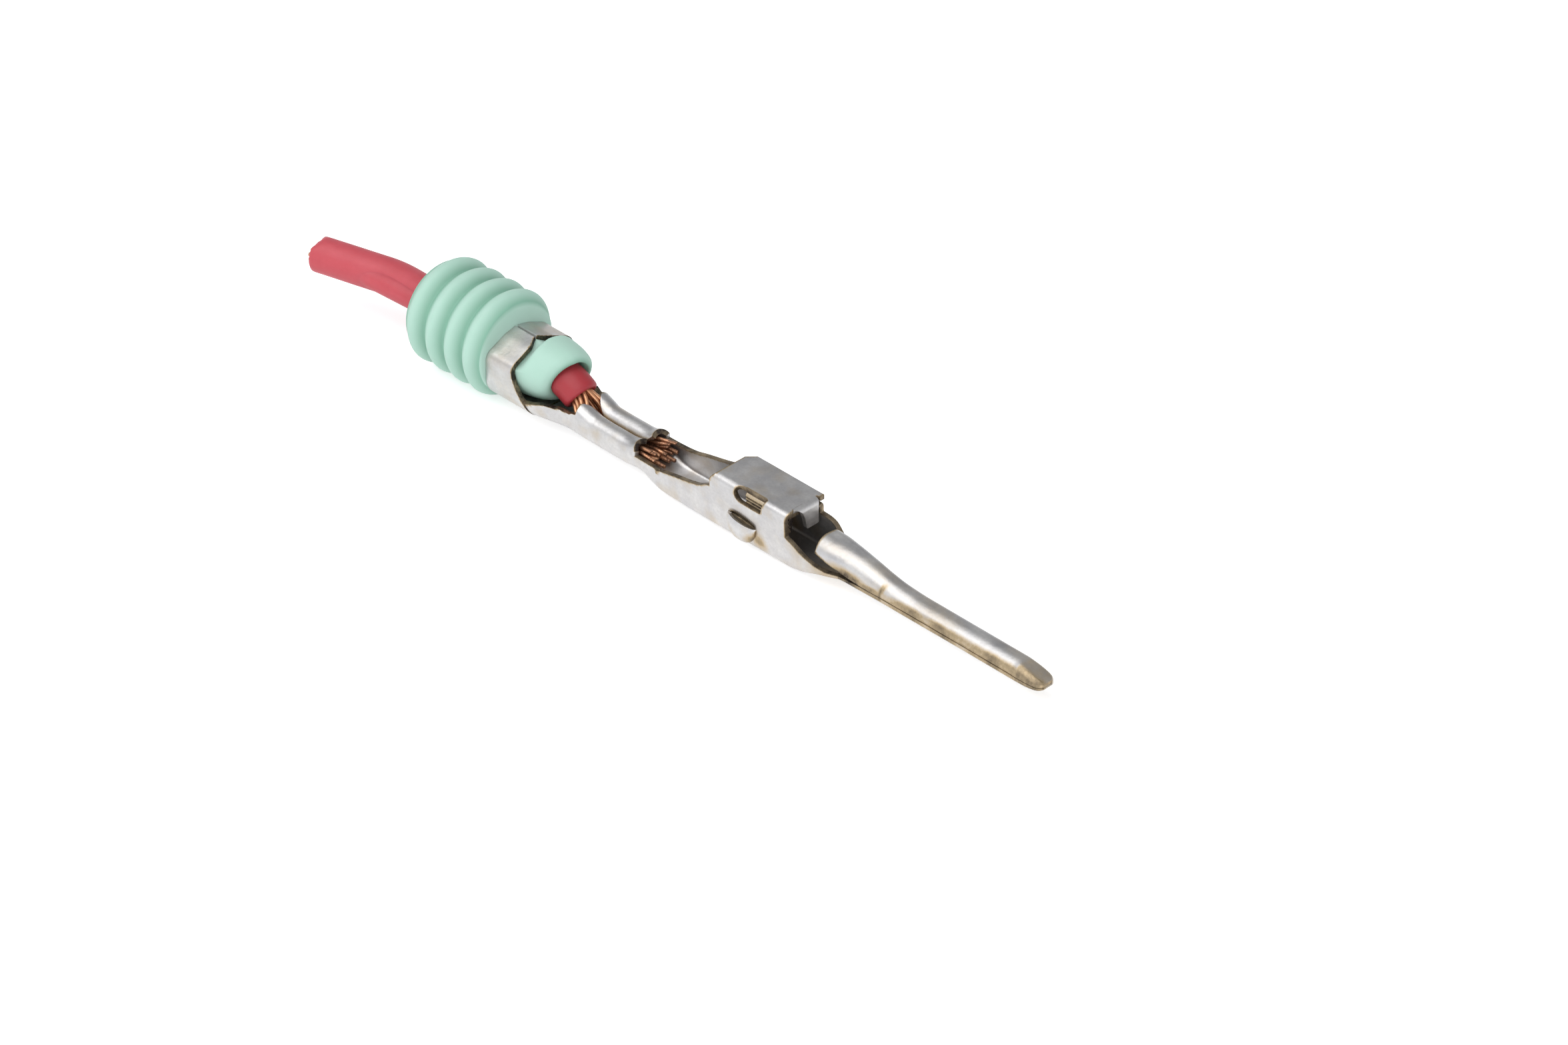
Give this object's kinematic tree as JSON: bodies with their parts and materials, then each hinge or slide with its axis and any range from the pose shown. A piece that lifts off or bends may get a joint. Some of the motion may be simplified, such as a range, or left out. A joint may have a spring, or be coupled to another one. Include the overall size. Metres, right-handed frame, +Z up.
{
  "type": "crimp pin contact",
  "caption": "Sealed male crimp contact: folded tin-plated sheet with a locking box and a long flat pin, crimped on a short stranded wire with a ribbed seal",
  "frame": {"origin": "on the underside of the locking box, below the rear edge of its roof", "axes": "+X along the contact to the tip of the pin, +Y the side away from the window in the locking box, +Z up from the box's floor to its roof"},
  "size_m": [0.039, 0.0044, 0.0044],
  "materials": {
    "tin_plate": "copper alloy sheet with a dull warm-grey tin plating, slightly tarnished at the bends",
    "seal_rubber": "matte mint silicone",
    "insulation": "soft red insulation",
    "copper": "bare drawn copper, browned at the ends"
  },
  "bodies": {
    "root": {"contact": "tin_plate", "wire_seal": "seal_rubber", "wire_insulation": "insulation", "strand_01": "copper", "strand_02": "copper", "strand_03": "copper", "strand_04": "copper", "strand_05": "copper", "strand_06": "copper", "strand_07": "copper", "strand_08": "copper", "strand_09": "copper", "strand_10": "copper", "strand_11": "copper", "strand_12": "copper", "strand_13": "copper", "strand_14": "copper", "strand_15": "copper", "strand_16": "copper", "strand_17": "copper", "strand_18": "copper", "strand_19": "copper"}
  },
  "joints": []
}
